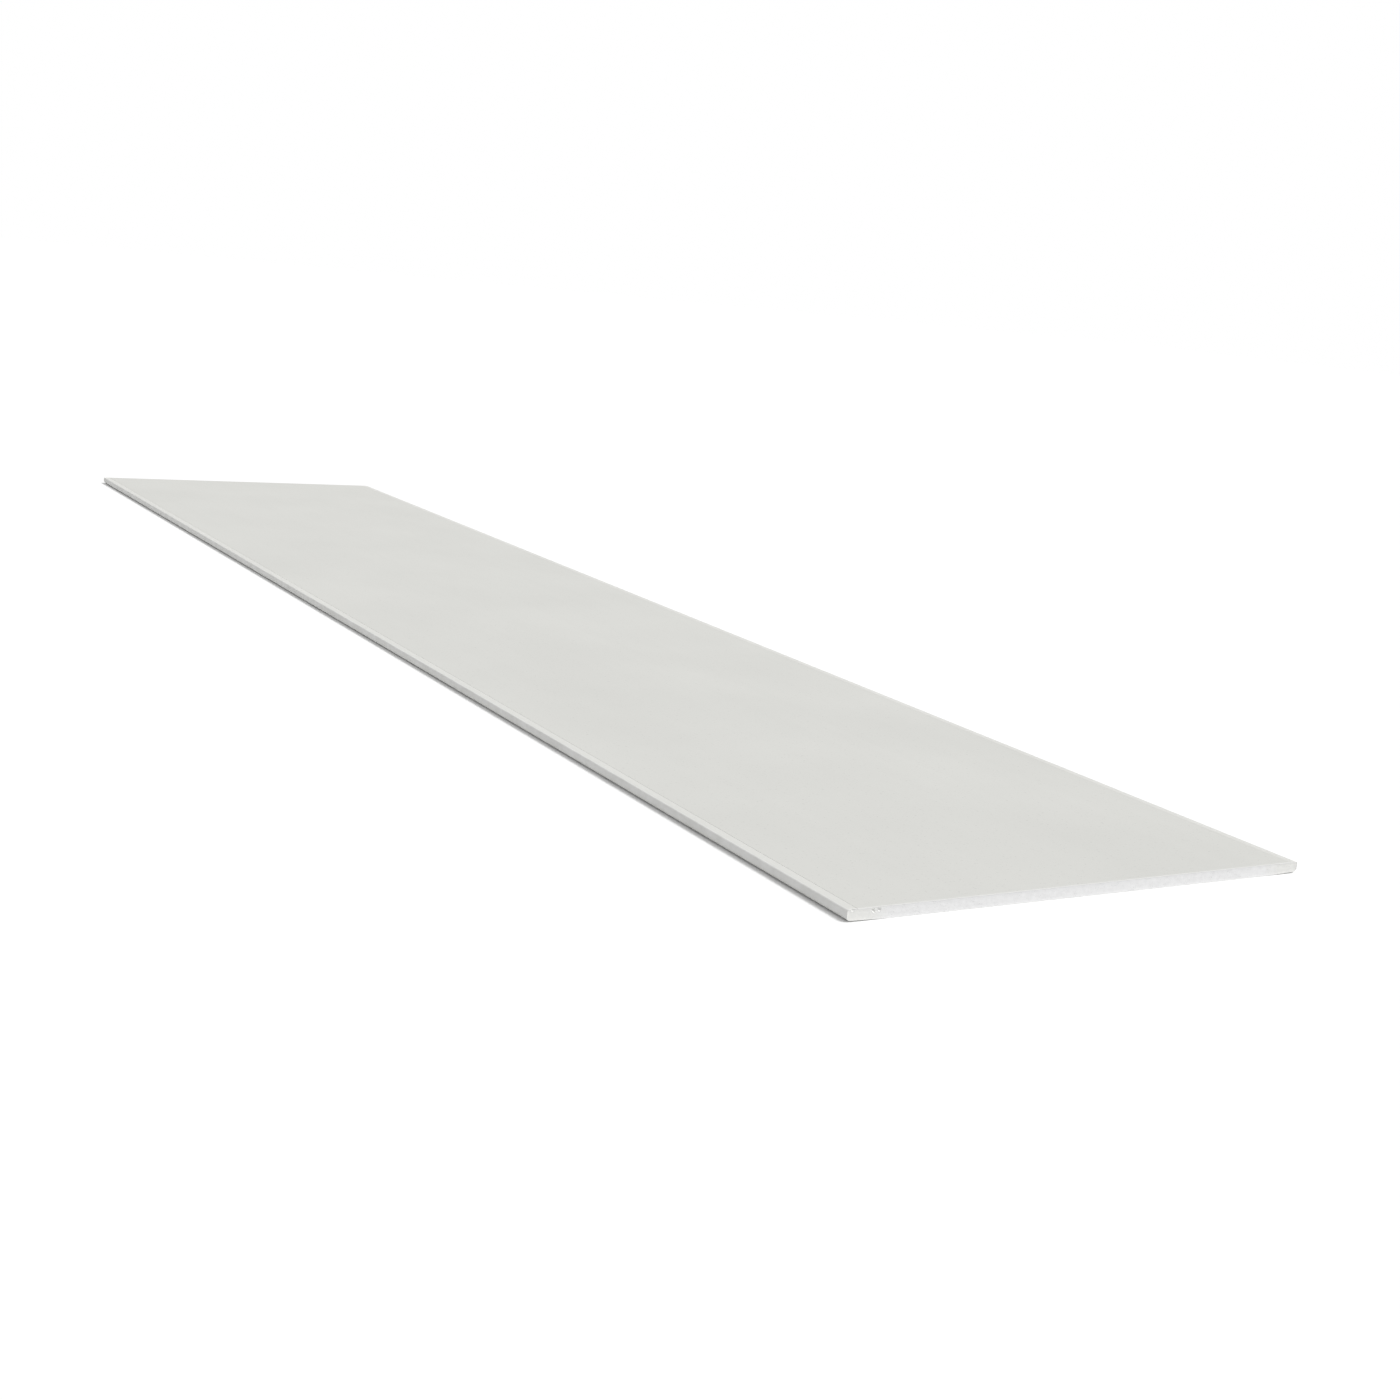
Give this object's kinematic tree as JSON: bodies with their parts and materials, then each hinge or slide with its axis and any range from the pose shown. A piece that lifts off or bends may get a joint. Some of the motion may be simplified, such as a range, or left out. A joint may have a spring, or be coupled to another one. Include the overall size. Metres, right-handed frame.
{
  "type": "drywall sheet",
  "caption": "Flat gypsum wallboard sheet with a paper face, tapered half-round long edges and square-cut ends, for lining walls and ceilings.",
  "frame": {"origin": "centre of the face, on the floor the sheet lies on", "axes": "+Y along the sheet's length, +X across its width, +Z through its thickness from the tapered face towards the back"},
  "size_m": [0.6, 2.8, 0.0125],
  "materials": {
    "paper_faced_gypsum": "matte"
  },
  "bodies": {
    "root": {"drywall_sheet": "paper_faced_gypsum"}
  },
  "joints": []
}
